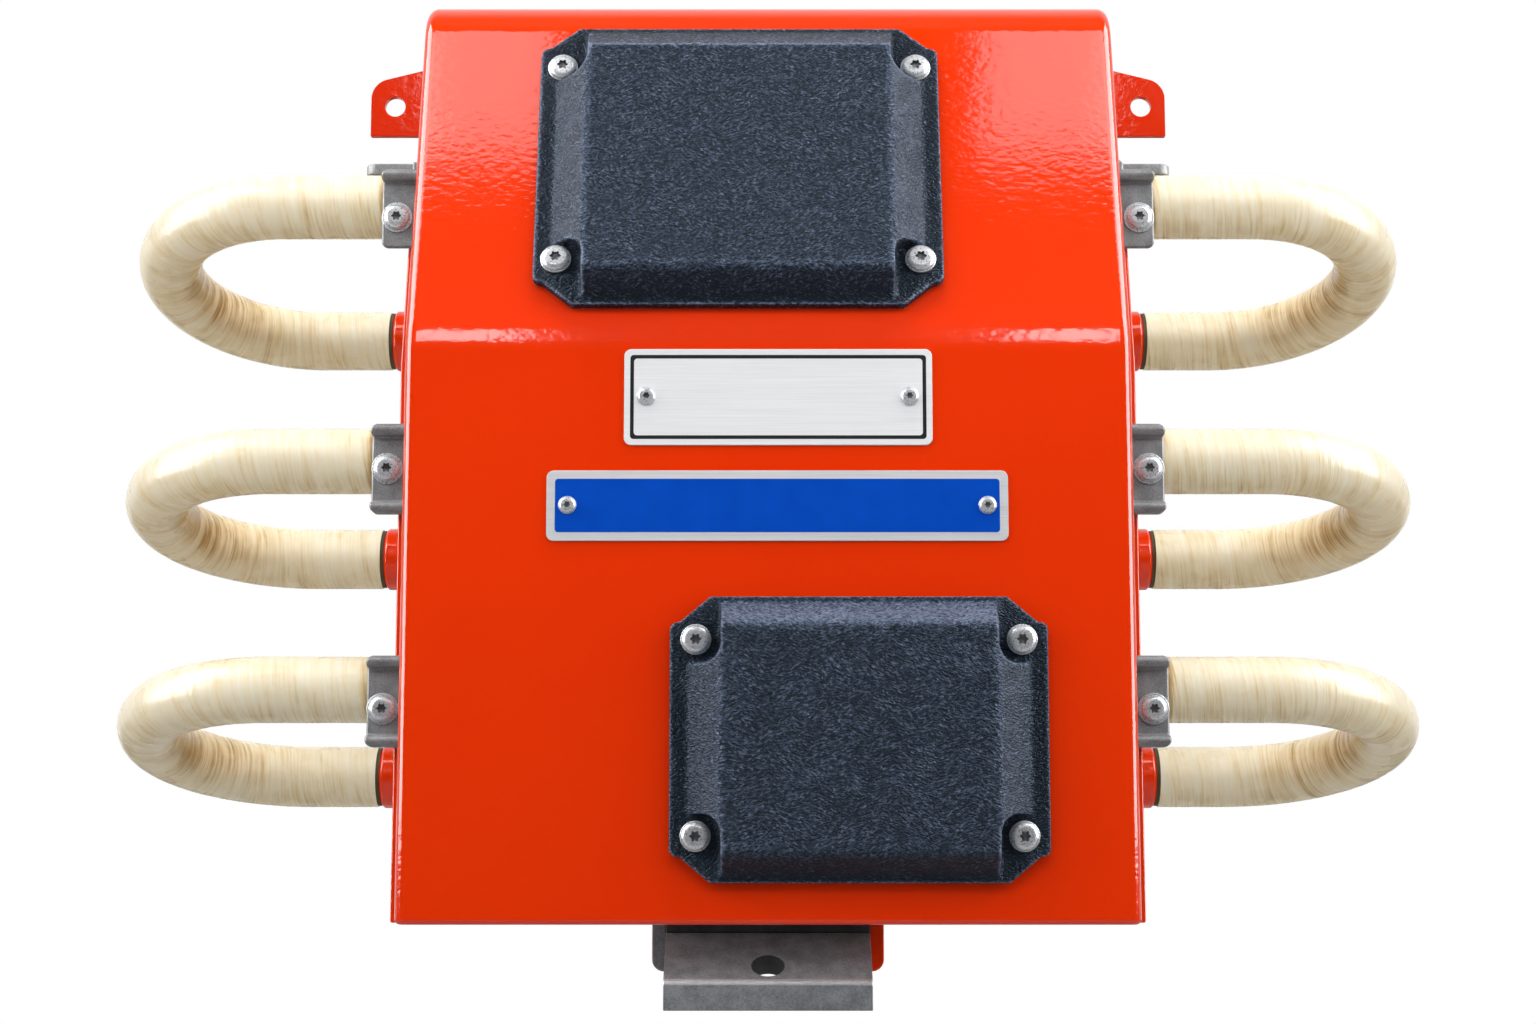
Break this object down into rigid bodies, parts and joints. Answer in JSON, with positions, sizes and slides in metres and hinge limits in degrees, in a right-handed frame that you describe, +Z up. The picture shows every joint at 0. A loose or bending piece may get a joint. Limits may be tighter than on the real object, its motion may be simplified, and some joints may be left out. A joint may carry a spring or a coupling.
{
  "type": "wall-hung three-phase power transformer",
  "caption": "Wall-hung three-phase transformer: orange folded-sheet housing, U-shaped taped conductor loops at both sides, black terminal covers on the front, mounting ears and a bent foot.",
  "frame": {"origin": "on the back face, midway between the two ear holes", "axes": "+X to the right seen from the front, +Y into the wall, +Z up"},
  "size_m": [0.5766, 0.217, 0.454],
  "materials": {
    "orange_paint": "glossy powder coat",
    "black_plastic": "grained moulding",
    "taped_conductor": "varnished insulating tape",
    "zinc_steel": "zinc plated",
    "foot_steel": "dark rolled steel",
    "plate_silver": "satin",
    "plate_blue": "satin lacquer",
    "seal_rubber": "matt"
  },
  "bodies": {
    "root": {"tank": "orange_paint", "front_cover": "orange_paint", "back_plate": "orange_paint", "left_rail": "orange_paint", "left_gusset": "orange_paint", "left_seal_rings": "seal_rubber", "lower_left_loop": "taped_conductor", "lower_left_collar": "orange_paint", "lower_left_clamp": "zinc_steel", "middle_left_loop": "taped_conductor", "middle_left_collar": "orange_paint", "middle_left_clamp": "zinc_steel", "upper_left_loop": "taped_conductor", "upper_left_collar": "orange_paint", "upper_left_clamp": "zinc_steel", "right_rail": "orange_paint", "right_gusset": "orange_paint", "right_seal_rings": "seal_rubber", "lower_right_loop": "taped_conductor", "lower_right_collar": "orange_paint", "lower_right_clamp": "zinc_steel", "middle_right_loop": "taped_conductor", "middle_right_collar": "orange_paint", "middle_right_clamp": "zinc_steel", "upper_right_loop": "taped_conductor", "upper_right_collar": "orange_paint", "upper_right_clamp": "zinc_steel", "lower_terminal_cover": "black_plastic", "upper_terminal_cover": "black_plastic", "silver_plate": "plate_silver", "blue_plate": "plate_blue", "foot": "foot_steel", "foot_spacer": "foot_steel"}
  },
  "joints": []
}
